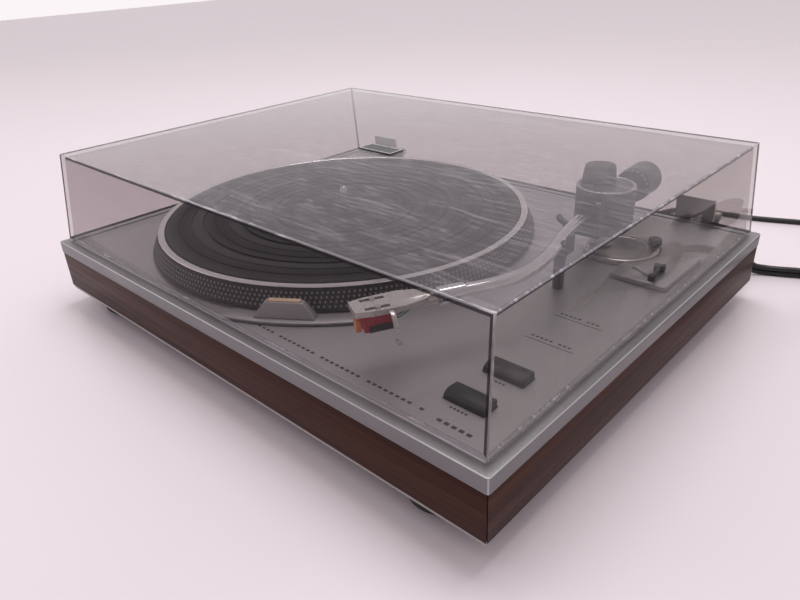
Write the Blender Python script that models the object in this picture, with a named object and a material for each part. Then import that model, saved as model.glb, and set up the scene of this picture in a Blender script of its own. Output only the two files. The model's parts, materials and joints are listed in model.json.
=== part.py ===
"""Turntable record player: walnut-effect box, silver deck, S-shaped tonearm, smoked lid, two leads.

Metres, +Z up, +X to the player's right, +Y to its back. Heights below are measured from the top of the
silver trim and the plan from the middle of the box; the empty "trim_plane" carries that frame, so that
the world origin is the middle of the footprint at floor level.
"""
import math

import bmesh
import bpy
from mathutils import Matrix, Vector

# ---- driving dimensions ------------------------------------------------------------------------------
WIDTH = 0.440                 # silver trim, left to right
DEPTH = 0.3504                # silver trim, front to back
TRIM_HEIGHT = 0.0098
TRIM_TOP = 0.0560             # trim top above the floor
GAP = 0.0003                  # between pieces that touch

BOARD_INSET = 0.0005
BOARD_THICK = 0.012
BOARD_TOP = -TRIM_HEIGHT - GAP
BOARD_BOTTOM = -0.0401
COVER_TOP = BOARD_BOTTOM - GAP
COVER_THICK = 0.0021
FOOT_RADIUS = 0.022
FOOT_PLACE = (0.172, 0.1475)

TRIM_WIDTH = 0.008
DECK_TOP = -0.0008
DECK_THICK = 0.0022
ON_DECK = DECK_TOP + GAP

LID_BOTTOM = 0.0017
LID_TOP = 0.0722
LID_THICK = 0.003
LID_INSET = (0.0054, 0.0065)  # lid's foot inside the trim's outer edge, x and y
LID_DRAFT = (0.0043, 0.0090)  # how far each side leans in by the top

HINGE_X = 0.1705
HINGE_Y = DEPTH / 2 + 0.004
HINGE_Z = 0.005
KNUCKLE_RADIUS = 0.0034
PIN_RADIUS = 0.0014

PLATTER_AT = (-0.052, -0.004)
SKIRT_RADIUS = 0.1558
SKIRT_BOTTOM = 0.0025
RING_RADIUS = 0.1494
RING_TOP = 0.0165
MAT_RADIUS = 0.1440
MAT_TOP = 0.0170
MAT_THICK = 0.0042
SPINDLE_RADIUS = 0.0036
SPINDLE_TOP = 0.0340

PIVOT = (0.136, 0.081)        # tonearm's vertical axis
ARM_Z = 0.0335                # arm tube's centre line
ARM_REST_DEG = -3.0           # tube's line at the housing, from straight forward towards the platter
ARM_TUBE_RADIUS = 0.0040
HOUSING_RADIUS = 0.021
HOUSING_BOTTOM = 0.0150
HOUSING_TOP = 0.0465
CAP_BOTTOM = 0.0468
CAP_TOP = 0.0485
KNOB_TOP = 0.0605
SLOT_WIDTH = 0.0118
HEAD_FRONT = (0.1110, -0.1496)
HEAD_DEG = 27.5               # headshell's axis, from straight forward towards the platter
HEAD_PLATE = 0.042            # plate length; the neck behind it ends at HEAD_LENGTH
HEAD_LENGTH = 0.049
COLLAR_LENGTH = 0.0164

# plan places along the S of the parked arm tube, from the headshell's end to the housing
ARM_BENDS = [(0.1460, -0.0825), (0.1500, -0.0740), (0.1538, -0.0640), (0.1553, -0.0530), (0.1552, -0.0400),
             (0.1525, -0.0210), (0.1482, -0.0040), (0.1435, 0.0120), (0.1400, 0.0290)]
SIDE_KNOB_AT = (-0.0075, 0.0040, 0)     # from the pivot, in the arm's own axes

CUE_LEVER_AT = (0.1915, 0.0580)
CUE_LEVER_Z = 0.0063
CUE_BOW_RADIUS = 0.032
CUE_BOW_Z = 0.0240
CUE_ROD_DEG = 25.8

KEY_SIZE = (0.0255, 0.0115)
KEY_TOP = 0.0040
KEYS = {"start_stop_key": (0.1790, -0.1350), "speed_key": (0.1800, -0.1025)}

DISC_AT = (0.151, 0.084)
DISC_RADIUS = 0.0273

MAINS_DIAMETER = 0.005
MAINS_EXIT = (0.100, -0.028)  # x and z on the rear board
AUDIO_DIAMETER = 0.0088
AUDIO_EXIT = (0.198, -0.028)
FLOOR = -TRIM_TOP

# ---- materials: colour, roughness, metallic ----------------------------------------------------------
FINISHES = {
    "walnut": ((0.10, 0.055, 0.040), 0.45, 0.0),
    "silver": ((0.52, 0.52, 0.53), 0.35, 0.9),
    "deck_silver": ((0.42, 0.42, 0.43), 0.42, 0.85),
    "steel": ((0.45, 0.44, 0.42), 0.5, 0.8),
    "chrome": ((0.80, 0.80, 0.82), 0.12, 1.0),
    "rubber": ((0.02, 0.02, 0.022), 0.75, 0.0),
    "black_plastic": ((0.035, 0.036, 0.038), 0.4, 0.0),
    "grey_plastic": ((0.13, 0.135, 0.14), 0.4, 0.0),
    "smoked_acrylic": ((0.20, 0.20, 0.21), 0.08, 0.0),
    "amber": ((0.75, 0.55, 0.32), 0.2, 0.0),
    "red_plastic": ((0.50, 0.03, 0.05), 0.35, 0.0),
    "board_green": ((0.05, 0.16, 0.08), 0.5, 0.0),
    "white_plastic": ((0.8, 0.8, 0.78), 0.4, 0.0),
    "cord_black": ((0.015, 0.015, 0.016), 0.5, 0.0),
}


def clear_scene():
    for item in list(bpy.data.objects):
        bpy.data.objects.remove(item, do_unlink=True)


def make_materials():
    made = {}
    for name, (colour, roughness, metallic) in FINISHES.items():
        material = bpy.data.materials.new(name)
        material.use_nodes = True
        shader = material.node_tree.nodes["Principled BSDF"]
        shader.inputs["Base Color"].default_value = (*colour, 1.0)
        shader.inputs["Roughness"].default_value = roughness
        shader.inputs["Metallic"].default_value = metallic
        made[name] = material
    return made


# ---- modelling helpers -------------------------------------------------------------------------------
def add_object(name, mesh, finish, parent):
    piece = bpy.data.objects.new(name, mesh)
    bpy.context.scene.collection.objects.link(piece)
    piece.parent = parent
    mesh.materials.append(MATERIALS[finish])
    return piece


def finish_mesh(bm, name, smooth):
    bmesh.ops.recalc_face_normals(bm, faces=bm.faces)
    mesh = bpy.data.meshes.new(name)
    bm.to_mesh(mesh)
    bm.free()
    if smooth:
        mesh.shade_smooth()
        mesh.set_sharp_from_angle(angle=math.radians(35))
    return mesh


def prism_mesh(name, outline, low, high, top_shift=None):
    """A plan outline raised from low to high; top_shift(x, y) moves the upper corners."""
    bm = bmesh.new()
    bottom = [bm.verts.new((x, y, low)) for x, y in outline]
    shifted = [top_shift(x, y) if top_shift else (x, y) for x, y in outline]
    top = [bm.verts.new((x, y, high)) for x, y in shifted]
    bm.faces.new(bottom)
    bm.faces.new(top)
    for i in range(len(outline)):
        j = (i + 1) % len(outline)
        bm.faces.new((bottom[i], bottom[j], top[j], top[i]))
    return finish_mesh(bm, name, False)


def rectangle(x0, x1, y0, y1):
    return [(x0, y0), (x1, y0), (x1, y1), (x0, y1)]


def rounded_rectangle(x0, x1, y0, y1, radius, steps=4):
    points = []
    corners = ((x1 - radius, y0 + radius, -90), (x1 - radius, y1 - radius, 0),
               (x0 + radius, y1 - radius, 90), (x0 + radius, y0 + radius, 180))
    for cx, cy, start in corners:
        for k in range(steps + 1):
            angle = math.radians(start + 90 * k / steps)
            points.append((cx + radius * math.cos(angle), cy + radius * math.sin(angle)))
    return points


def box_mesh(name, x0, x1, y0, y1, z0, z1):
    return prism_mesh(name, rectangle(x0, x1, y0, y1), z0, z1)


def turned_mesh(name, profile, segments, ring=False):
    """Spin a profile of (radius, height) about Z; a ring's profile closes on itself."""
    bm = bmesh.new()
    rows = []
    for radius, height in profile:
        if radius < 1e-9:
            rows.append([bm.verts.new((0, 0, height))])
            continue
        row = []
        for k in range(segments):
            angle = 2 * math.pi * k / segments
            row.append(bm.verts.new((radius * math.cos(angle), radius * math.sin(angle), height)))
        rows.append(row)
    pairs = list(zip(rows, rows[1:]))
    if ring:
        pairs.append((rows[-1], rows[0]))
    for upper, lower in pairs:
        for k in range(segments):
            n = (k + 1) % segments
            loop = [upper[k % len(upper)], upper[n % len(upper)], lower[n % len(lower)], lower[k % len(lower)]]
            corners = list(dict.fromkeys(loop))
            if len(corners) > 2:
                bm.faces.new(corners)
    return finish_mesh(bm, name, True)


def disc_profile(radius, low, high, edge=0.0):
    if edge <= 0:
        return [(0, high), (radius, high), (radius, low), (0, low)]
    return [(0, high), (radius - edge, high), (radius, high - edge), (radius, low), (0, low)]


def cylinder_mesh(name, radius, low, high, segments=24, edge=0.0):
    return turned_mesh(name, disc_profile(radius, low, high, edge), segments)


def ring_mesh(name, inner, outer, low, high, segments=24):
    profile = [(outer, high), (outer, low), (inner, low), (inner, high)]
    return turned_mesh(name, profile, segments, ring=True)


def moved(mesh, matrix):
    mesh.transform(matrix)
    return mesh


def along_x(mesh, x, y, z):
    """Lay a piece turned about Z along +X and place it."""
    return moved(mesh, Matrix.Translation((x, y, z)) @ Matrix.Rotation(math.pi / 2, 4, "Y"))


def combine(name, first, others, operation):
    """Boolean the meshes together and return one new mesh."""
    body = bpy.data.objects.new(name, first)
    bpy.context.scene.collection.objects.link(body)
    helpers = []
    for i, mesh in enumerate(others):
        helper = bpy.data.objects.new(f"{name}_helper_{i}", mesh)
        bpy.context.scene.collection.objects.link(helper)
        helper.hide_render = True
        helper.display_type = "WIRE"
        helpers.append(helper)
        step = body.modifiers.new(f"step_{i}", "BOOLEAN")
        step.operation = operation
        step.solver = "EXACT"
        step.object = helper
    graph = bpy.context.evaluated_depsgraph_get()
    result = bpy.data.meshes.new_from_object(body.evaluated_get(graph))
    result.name = name
    for item in [body, *helpers]:
        bpy.data.objects.remove(item, do_unlink=True)
    return result


def union(name, first, *others):
    return combine(name, first, others, "UNION")


def cut(name, first, *others):
    return combine(name, first, others, "DIFFERENCE")


def smooth_path(points, count):
    """Read count points, evenly spaced, from a smooth curve through the given ones."""
    route = [Vector(p) for p in points]
    route = [2 * route[0] - route[1], *route, 2 * route[-1] - route[-2]]
    fine = []
    for a, b, c, d in zip(route, route[1:], route[2:], route[3:]):
        for k in range(24):
            t = k / 24
            fine.append(0.5 * ((2 * b) + (c - a) * t + (2 * a - 5 * b + 4 * c - d) * t * t
                               + (3 * b - a - 3 * c + d) * t ** 3))
    fine.append(route[-2])
    lengths = [0.0]
    for a, b in zip(fine, fine[1:]):
        lengths.append(lengths[-1] + (b - a).length)
    even = []
    k = 0
    for i in range(count):
        target = lengths[-1] * i / (count - 1)
        while k < len(lengths) - 2 and lengths[k + 1] < target:
            k += 1
        share = (target - lengths[k]) / (lengths[k + 1] - lengths[k])
        even.append(fine[k].lerp(fine[k + 1], share))
    return even


def bow_mesh(path, radius, segments=12):
    """A round bar along a level arc."""
    bm = bmesh.new()
    rings = []
    for k, place in enumerate(path):
        ahead = Vector(path[min(k + 1, len(path) - 1)]) - Vector(path[max(k - 1, 0)])
        side = Vector((ahead.y, -ahead.x, 0)).normalized()
        ring = []
        for n in range(segments):
            angle = 2 * math.pi * n / segments
            ring.append(bm.verts.new(Vector(place) + side * radius * math.cos(angle)
                                     + Vector((0, 0, radius * math.sin(angle)))))
        rings.append(ring)
    bm.faces.new(rings[0])
    bm.faces.new(rings[-1])
    for one, two in zip(rings, rings[1:]):
        for n in range(segments):
            m = (n + 1) % segments
            bm.faces.new((one[n], one[m], two[m], two[n]))
    return finish_mesh(bm, "bow", True)


def tube_object(name, path, radius, finish, parent, resolution=2):
    curve = bpy.data.curves.new(name, "CURVE")
    curve.dimensions = "3D"
    curve.bevel_depth = radius
    curve.bevel_resolution = resolution
    curve.use_fill_caps = True
    spline = curve.splines.new("POLY")
    spline.points.add(len(path) - 1)
    for point, place in zip(spline.points, path):
        point.co = (*place, 1.0)
    curve.materials.append(MATERIALS[finish])
    piece = bpy.data.objects.new(name, curve)
    bpy.context.scene.collection.objects.link(piece)
    piece.parent = parent
    return piece


def empty(name, place, parent=None, turn_z=0.0):
    item = bpy.data.objects.new(name, None)
    bpy.context.scene.collection.objects.link(item)
    item.location = place
    item.rotation_euler = (0, 0, turn_z)
    item.parent = parent
    return item


# ---- case --------------------------------------------------------------------------------------------
def make_case(base):
    x = WIDTH / 2 - BOARD_INSET
    y = DEPTH / 2 - BOARD_INSET
    t = BOARD_THICK
    m = GAP * 0.7             # mitre gap, half of it on each board
    front = [(-x + m, -y), (x - m, -y), (x - t - m, -y + t), (-x + t + m, -y + t)]
    side = [(x, -y + m), (x, y - m), (x - t, y - t - m), (x - t, -y + t + m)]
    add_object("board_front", prism_mesh("board_front", front, BOARD_BOTTOM, BOARD_TOP), "walnut", base)
    add_object("board_right", prism_mesh("board_right", side, BOARD_BOTTOM, BOARD_TOP), "walnut", base)
    left = [(-px, py) for px, py in side]
    add_object("board_left", prism_mesh("board_left", left, BOARD_BOTTOM, BOARD_TOP), "walnut", base)
    back = [(px, -py) for px, py in front]
    rear = prism_mesh("board_rear", back, BOARD_BOTTOM, BOARD_TOP)
    holes = []
    for hole_x, hole_z, radius in ((*MAINS_EXIT, 0.0045), (*AUDIO_EXIT, 0.0060)):
        drill = cylinder_mesh("drill", radius, -0.03, 0.03, 16)
        turn = Matrix.Rotation(math.pi / 2, 4, "X")
        holes.append(moved(drill, Matrix.Translation((hole_x, y, hole_z)) @ turn))
    add_object("board_rear", cut("board_rear", rear, *holes), "walnut", base)

    outer = rounded_rectangle(-WIDTH / 2, WIDTH / 2, -DEPTH / 2, DEPTH / 2, 0.0015, 2)
    ix = WIDTH / 2 - TRIM_WIDTH
    iy = DEPTH / 2 - TRIM_WIDTH
    trim = cut("trim_frame", prism_mesh("trim", outer, -TRIM_HEIGHT, 0),
               box_mesh("window", -ix, ix, -iy, iy, -0.02, 0.01))
    add_object("trim_frame", trim, "silver", base)

    cx = x - 0.0015
    cy = y - 0.0006
    cover = box_mesh("bottom_cover", -cx, cx, -cy, cy, COVER_TOP - COVER_THICK, COVER_TOP)
    add_object("bottom_cover", cover, "steel", base)

    foot_top = COVER_TOP - COVER_THICK - GAP
    profile = [(0, foot_top), (FOOT_RADIUS - 0.001, foot_top), (FOOT_RADIUS, foot_top - 0.001),
               (FOOT_RADIUS - 0.001, FLOOR + 0.003), (FOOT_RADIUS - 0.004, FLOOR), (0, FLOOR)]
    foot = turned_mesh("foot", profile, 24)
    fx, fy = FOOT_PLACE
    for name, sx, sy in (("front_left", -1, -1), ("front_right", 1, -1),
                         ("rear_left", -1, 1), ("rear_right", 1, 1)):
        piece = add_object(f"foot_{name}", foot.copy(), "rubber", base)
        piece.location = (sx * fx, sy * fy, 0)


def cue_rod_place():
    angle = math.radians(CUE_ROD_DEG)
    return (PIVOT[0] - CUE_BOW_RADIUS * math.sin(angle), PIVOT[1] - CUE_BOW_RADIUS * math.cos(angle))


def make_deck(base):
    ix = WIDTH / 2 - TRIM_WIDTH - GAP
    iy = DEPTH / 2 - TRIM_WIDTH - GAP
    px, py = PLATTER_AT
    deck_low = DECK_TOP - DECK_THICK
    chassis_top = deck_low - GAP
    tools = []
    for place, radius in ((PLATTER_AT, 0.032), (cue_rod_place(), 0.0028)):
        drill = cylinder_mesh("drill", radius, -0.05, 0.05, 32)
        tools.append(moved(drill, Matrix.Translation((*place, 0))))
    for kx, ky in KEYS.values():
        hx = KEY_SIZE[0] / 2 + 0.0006
        hy = KEY_SIZE[1] / 2 + 0.0006
        tools.append(box_mesh("slot", kx - hx, kx + hx, ky - hy, ky + hy, -0.05, 0.05))
    copies = [tool.copy() for tool in tools]
    deck = cut("deck_plate", box_mesh("deck", -ix, ix, -iy, iy, deck_low, DECK_TOP), *tools)
    add_object("deck_plate", deck, "deck_silver", base)
    chassis = cut("chassis_board", box_mesh("chassis", -ix, ix, -iy, iy, BOARD_TOP + GAP, chassis_top), *copies)
    add_object("chassis_board", chassis, "black_plastic", base)

    stator = turned_mesh("motor_stator", [(0.048, -0.0101), (0.048, -0.0130), (0.040, -0.0135),
                                          (0.040, -0.0360), (0.0039, -0.0360), (0.0039, -0.0020),
                                          (0.0300, -0.0020), (0.0300, -0.0101)], 32, ring=True)
    add_object("motor_stator", stator, "steel", base).location = (px, py, 0)
    cover_top = COVER_TOP + GAP
    block = box_mesh("transformer", -0.190, -0.140, 0.095, 0.150, cover_top, -0.012)
    add_object("transformer", block, "steel", base)
    board = box_mesh("circuit_board", 0.020, 0.120, 0.080, 0.150, cover_top + 0.004, cover_top + 0.0056)
    legs = [box_mesh("leg", lx, lx + 0.006, ly, ly + 0.006, cover_top, cover_top + 0.005)
            for lx in (0.024, 0.110) for ly in (0.084, 0.140)]
    add_object("circuit_board", union("circuit_board", board, *legs), "board_green", base)

    for name, (kx, ky) in KEYS.items():
        hx, hy = KEY_SIZE[0] / 2, KEY_SIZE[1] / 2
        profile = [(-hy, -0.0165), (-hy, 0.0018), (-hy + 0.0035, KEY_TOP), (hy, KEY_TOP - 0.0005),
                   (hy, -0.0165)]
        bm = bmesh.new()
        ends = [[bm.verts.new((x, y, z)) for y, z in profile] for x in (-hx, hx)]
        for end in ends:
            bm.faces.new(end)
        for i in range(len(profile)):
            j = (i + 1) % len(profile)
            bm.faces.new((ends[0][i], ends[0][j], ends[1][j], ends[1][i]))
        add_object(name, finish_mesh(bm, name, False), "black_plastic", base).location = (kx, ky, 0)


def arc_outline(inner, outer, start_deg, end_deg, steps):
    points = []
    for k in range(steps + 1):
        angle = math.radians(start_deg + (end_deg - start_deg) * k / steps)
        points.append((outer * math.cos(angle), outer * math.sin(angle)))
    for k in range(steps, -1, -1):
        angle = math.radians(start_deg + (end_deg - start_deg) * k / steps)
        points.append((inner * math.cos(angle), inner * math.sin(angle)))
    return points


def make_strobe(base):
    panel = prism_mesh("strobe_panel", arc_outline(0.1575, 0.1700, -71, -38, 14), ON_DECK, 0.0014)
    add_object("strobe_panel", panel, "deck_silver", base).location = (*PLATTER_AT, 0)
    # trapezoid lamp housing: section in the radial plane, swept through a small angle
    angle = math.radians(-57)
    low = 0.0014 + GAP
    bm = bmesh.new()
    ends = []
    for side in (-1, 1):
        foot_half = 0.0205
        top_half = 0.0126
        section = ((0.1575, low, foot_half), (0.1655, low, foot_half), (0.1628, 0.0118, top_half),
                   (0.1575, 0.0118, top_half))
        ends.append([bm.verts.new((r, side * half, z)) for r, z, half in section])
    for end in ends:
        bm.faces.new(end)
    for i in range(4):
        j = (i + 1) % 4
        bm.faces.new((ends[0][i], ends[0][j], ends[1][j], ends[1][i]))
    housing = finish_mesh(bm, "strobe_housing", False)
    window = box_mesh("notch", 0.1500, 0.1618, -0.0110, 0.0110, 0.0070, 0.0130)
    housing = cut("strobe_housing", housing, window)
    turn = Matrix.Rotation(angle, 4, "Z")
    piece = add_object("strobe_housing", moved(housing, turn), "grey_plastic", base)
    piece.location = (*PLATTER_AT, 0)
    lens = box_mesh("strobe_window", 0.1575, 0.1615, -0.0107, 0.0107, 0.0073, 0.0124)
    add_object("strobe_window", moved(lens, turn), "amber", base).location = (*PLATTER_AT, 0)


def make_drive(base):
    """Platter, mat and spindle, which turn together."""
    spin = empty("platter_axis", (*PLATTER_AT, 0), base)
    under = MAT_TOP - MAT_THICK - GAP
    profile = [(0.0039, under), (MAT_RADIUS + 0.0004, under), (MAT_RADIUS + 0.0008, RING_TOP),
               (RING_RADIUS, RING_TOP), (SKIRT_RADIUS, SKIRT_BOTTOM), (SKIRT_RADIUS - 0.0035, SKIRT_BOTTOM),
               (RING_RADIUS - 0.0036, under - 0.0035), (0.0140, under - 0.0035), (0.0120, 0.0040),
               (0.0039, 0.0040)]
    add_object("platter", turned_mesh("platter", profile, 72, ring=True), "silver", spin)
    mat = turned_mesh("platter_mat", [(0.0042, MAT_TOP), (MAT_RADIUS - 0.0008, MAT_TOP),
                                      (MAT_RADIUS, MAT_TOP - 0.0008), (MAT_RADIUS, MAT_TOP - MAT_THICK),
                                      (0.0042, MAT_TOP - MAT_THICK)], 72, ring=True)
    add_object("platter_mat", mat, "rubber", spin)
    shaft = [(0, SPINDLE_TOP), (0.0016, SPINDLE_TOP - 0.0004), (0.0030, SPINDLE_TOP - 0.0022),
             (SPINDLE_RADIUS, SPINDLE_TOP - 0.0050), (SPINDLE_RADIUS, -0.0350), (0, -0.0350)]
    add_object("spindle", turned_mesh("spindle", shaft, 20), "chrome", spin)


# ---- tonearm -----------------------------------------------------------------------------------------
def make_arm_base(base):
    profile = [(0, 0.0026), (0.0185, 0.0026), (0.0190, 0.0031), (0.0230, 0.0031), (0.0235, 0.0035),
               (0.0265, 0.0035), (DISC_RADIUS, 0.0029), (DISC_RADIUS, ON_DECK), (0, ON_DECK)]
    disc = moved(turned_mesh("arm_base", profile, 48), Matrix.Translation((*DISC_AT, 0)))
    add_object("arm_base", disc, "silver", base)
    post_low = 0.0035 + GAP
    profile = [(0, 0.0247), (0.0040, 0.0247), (0.0040, HOUSING_BOTTOM - GAP), (0.0090, HOUSING_BOTTOM - GAP),
               (0.0090, post_low), (0, post_low)]
    add_object("arm_pillar", turned_mesh("arm_pillar", profile, 24), "chrome", base).location = (*PIVOT, 0)

    deck = prism_mesh("platform", rounded_rectangle(0.1650, 0.2045, 0.0380, 0.1000, 0.002, 2), ON_DECK, 0.0030)
    clear = cylinder_mesh("clear", DISC_RADIUS + 0.0004, -0.02, 0.02, 48)
    clear = moved(clear, Matrix.Translation((*DISC_AT, 0)))
    slot = box_mesh("slot", -0.0080, 0.0080, -0.0018, 0.0018, 0.0010, 0.02)
    slot = moved(slot, Matrix.Translation((0.1810, 0.0515, 0)) @ Matrix.Rotation(math.radians(-29), 4, "Z"))
    add_object("cue_platform", cut("cue_platform", deck, clear, slot), "deck_silver", base)

    lever_axis = empty("cue_lever_axis", (*CUE_LEVER_AT, CUE_LEVER_Z), base, turn_z=math.radians(10.6))
    hub = along_x(cylinder_mesh("hub", 0.0029, -0.0035, 0.0035, 16), 0, 0, 0)
    stem = box_mesh("stem", -0.0011, 0.0011, -0.0220, 0.0, -0.0010, 0.0010)
    stem = moved(stem, Matrix.Rotation(math.radians(-7), 4, "X"))
    tip = cylinder_mesh("tip", 0.0025, -0.0020, 0.0020, 16, 0.0006)
    tip = moved(tip, Matrix.Translation((0, -0.0235, 0.0029)))
    add_object("cue_lever", union("cue_lever", hub, stem, tip), "black_plastic", lever_axis)

    lift = empty("cue_lift_axis", (*PIVOT, 0), base)
    bow = []
    for k in range(13):
        angle = math.radians(-5 + 55 * k / 12)
        bow.append((-CUE_BOW_RADIUS * math.sin(angle), -CUE_BOW_RADIUS * math.cos(angle), CUE_BOW_Z))
    rod = cylinder_mesh("rod", 0.0022, -0.0070, CUE_BOW_Z, 12)
    rod_x, rod_y = cue_rod_place()
    rod = moved(rod, Matrix.Translation((rod_x - PIVOT[0], rod_y - PIVOT[1], 0)))
    add_object("cue_lift", union("cue_lift", bow_mesh(bow, 0.0024), rod), "black_plastic", lift)

    knob_axis = empty("arm_lock_knob_axis", (0.1690, 0.1010, 0), base)
    profile = [(0, 0.0080), (0.0040, 0.0080), (0.0047, 0.0074), (0.0050, 0.0038), (0, 0.0038)]
    add_object("arm_lock_knob", turned_mesh("arm_lock_knob", profile, 20), "black_plastic", knob_axis)

    # arm rest: a post whose cradle is open to the left and above, where the arm leaves
    post = cylinder_mesh("post", 0.0038, ON_DECK, 0.0270, 20)
    floor = box_mesh("floor", -0.0050, 0.0078, -0.0040, 0.0040, 0.0260, 0.0289)
    wall = box_mesh("wall", 0.0058, 0.0078, -0.0040, 0.0040, 0.0280, 0.0380)
    rest = union("arm_rest", post, floor, wall)
    add_object("arm_rest", rest, "black_plastic", base).location = (0.1460, 0.0040, 0)


def in_arm(x, y):
    """A parked plan place, seen from the arm's own axes (tube line along -Y, origin on the pivot)."""
    turn = math.radians(ARM_REST_DEG)
    dx, dy = x - PIVOT[0], y - PIVOT[1]
    return (dx * math.cos(turn) - dy * math.sin(turn), dx * math.sin(turn) + dy * math.cos(turn))


def make_arm(base):
    swing = empty("arm_swing_axis", (*PIVOT, 0), base, turn_z=-math.radians(ARM_REST_DEG))
    half_slot = SLOT_WIDTH / 2
    profile = [(0, HOUSING_TOP), (HOUSING_RADIUS, HOUSING_TOP), (HOUSING_RADIUS, 0.0180),
               (HOUSING_RADIUS - 0.002, HOUSING_BOTTOM), (0, HOUSING_BOTTOM)]
    snout = box_mesh("snout", -0.0092, 0.0092, -0.0273, -0.0100, 0.0170, 0.0400)
    body = union("body", turned_mesh("drum", profile, 40), snout)
    slot = box_mesh("slot", -half_slot, half_slot, -0.05, 0.05, 0.0265, 0.06)
    socket = cylinder_mesh("socket", 0.0045, 0.0, 0.0252, 20)
    bearing = along_x(cylinder_mesh("bearing", 0.0023, -0.0192, 0.0192, 16), 0, 0, ARM_Z)
    add_object("arm_housing", cut("arm_housing", body, slot, socket, bearing), "grey_plastic", swing)
    profile = [(0, CAP_TOP - 0.0005), (0.0192, CAP_TOP - 0.0005), (0.0197, CAP_TOP), (0.0205, CAP_TOP),
               (HOUSING_RADIUS, CAP_TOP - 0.0005), (HOUSING_RADIUS, CAP_BOTTOM), (0, CAP_BOTTOM)]
    add_object("pivot_cap", turned_mesh("pivot_cap", profile, 40), "silver", swing)

    knob_axis = empty("side_force_knob_axis", SIDE_KNOB_AT, swing)
    low = CAP_TOP - 0.0005 + GAP
    skirt = CAP_TOP + GAP
    profile = [(0, KNOB_TOP), (0.0102, KNOB_TOP), (0.0109, KNOB_TOP - 0.0008), (0.0122, skirt), (0.0100, skirt),
               (0.0100, low), (0, low)]
    add_object("side_force_knob", turned_mesh("side_force_knob", profile, 32), "grey_plastic", knob_axis)

    lift = empty("arm_lift_axis", (0, 0, ARM_Z), swing)
    axle = along_x(cylinder_mesh("axle", 0.0020, -0.0188, 0.0188, 12), 0, 0, 0)
    block = box_mesh("block", -half_slot + 0.0008, half_slot - 0.0008, -0.0130, 0.0130, -0.0045, 0.0050)
    add_object("pivot_block", union("pivot_block", block, axle), "chrome", lift)

    # everything ahead of the tube's end lies along the headshell's own axis
    front = Vector((*in_arm(*HEAD_FRONT), 0))
    heading = math.radians(HEAD_DEG)
    ahead_at = in_arm(PIVOT[0] - math.sin(heading), PIVOT[1] - math.cos(heading))
    ahead = Vector((*ahead_at, 0)).normalized()
    aim = Matrix.Rotation(math.atan2(ahead.x, -ahead.y), 4, "Z")      # local -Y along the headshell
    head_frame = Matrix.Translation(front) @ aim

    plate = prism_mesh("plate", [(-0.0070, 0), (0.0070, 0), (0.0088, 0.010), (0.0094, 0.028), (0.0060, HEAD_PLATE),
                                 (-0.0060, HEAD_PLATE), (-0.0094, 0.028), (-0.0088, 0.010)], 0.0003, 0.0035)
    neck = moved(cylinder_mesh("neck", 0.0042, 0.0395, HEAD_LENGTH, 16), Matrix.Rotation(-math.pi / 2, 4, "X"))
    slots = [box_mesh("slot", x - 0.0014, x + 0.0014, 0.0060, 0.0200, -0.01, 0.01) for x in (-0.0052, 0.0052)]
    shell = moved(cut("headshell", union("shell", plate, neck), *slots), head_frame)
    add_object("headshell", shell, "silver", lift)
    collar_at = front - ahead * (HEAD_LENGTH + GAP)
    collar_axis = empty("locking_collar_axis", collar_at, lift, turn_z=math.atan2(ahead.x, -ahead.y))
    profile = [(0, COLLAR_LENGTH), (0.0046, COLLAR_LENGTH), (0.0052, COLLAR_LENGTH - 0.0006), (0.0052, 0.0006),
               (0.0046, 0), (0, 0)]
    collar = moved(turned_mesh("locking_collar", profile, 20), Matrix.Rotation(-math.pi / 2, 4, "X"))
    add_object("locking_collar", collar, "chrome", collar_axis)
    body = box_mesh("cartridge", -0.0060, 0.0060, 0.0050, 0.0220, -0.0105, 0.0)
    add_object("cartridge", moved(body, head_frame), "red_plastic", lift)
    guard = prism_mesh("stylus_guard", rectangle(-0.0048, 0.0005, 0.0017, 0.0047), -0.0122, -0.0052)
    add_object("stylus_guard", moved(guard, head_frame), "amber", lift)
    strap = [(0.0096, 0.0022), (0.0118, 0.0021), (0.0138, 0.0010), (0.0156, -0.0014), (0.0170, -0.0044),
             (0.0182, -0.0072)]
    bm = bmesh.new()
    rings = []
    for (x, z), (nx, nz) in zip(strap, strap[1:] + [(0.0194, -0.0100)]):
        across = Vector((nz - z, 0, x - nx)).normalized() * 0.0005
        corners = []
        for y, side in ((0.0178, 1), (0.0204, 1), (0.0204, -1), (0.0178, -1)):
            corners.append(bm.verts.new(Vector((x, y, z)) + across * side))
        rings.append(corners)
    bm.faces.new(rings[0])
    bm.faces.new(rings[-1])
    for one, two in zip(rings, rings[1:]):
        for i in range(4):
            j = (i + 1) % 4
            bm.faces.new((one[i], one[j], two[j], two[i]))
    add_object("finger_lift", moved(finish_mesh(bm, "finger_lift", False), head_frame), "silver", lift)

    tube_end = collar_at - ahead * (COLLAR_LENGTH + GAP)
    route = [tube_end, tube_end - ahead * 0.0045]
    for x, y in ARM_BENDS:
        route.append(Vector((*in_arm(x, y), 0)))
    for y in (-0.0380, -0.0250, -0.0133):
        route.append(Vector((0, y, 0)))
    tube_object("arm_tube", smooth_path(route, 44), ARM_TUBE_RADIUS, "chrome", lift, 3)

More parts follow.
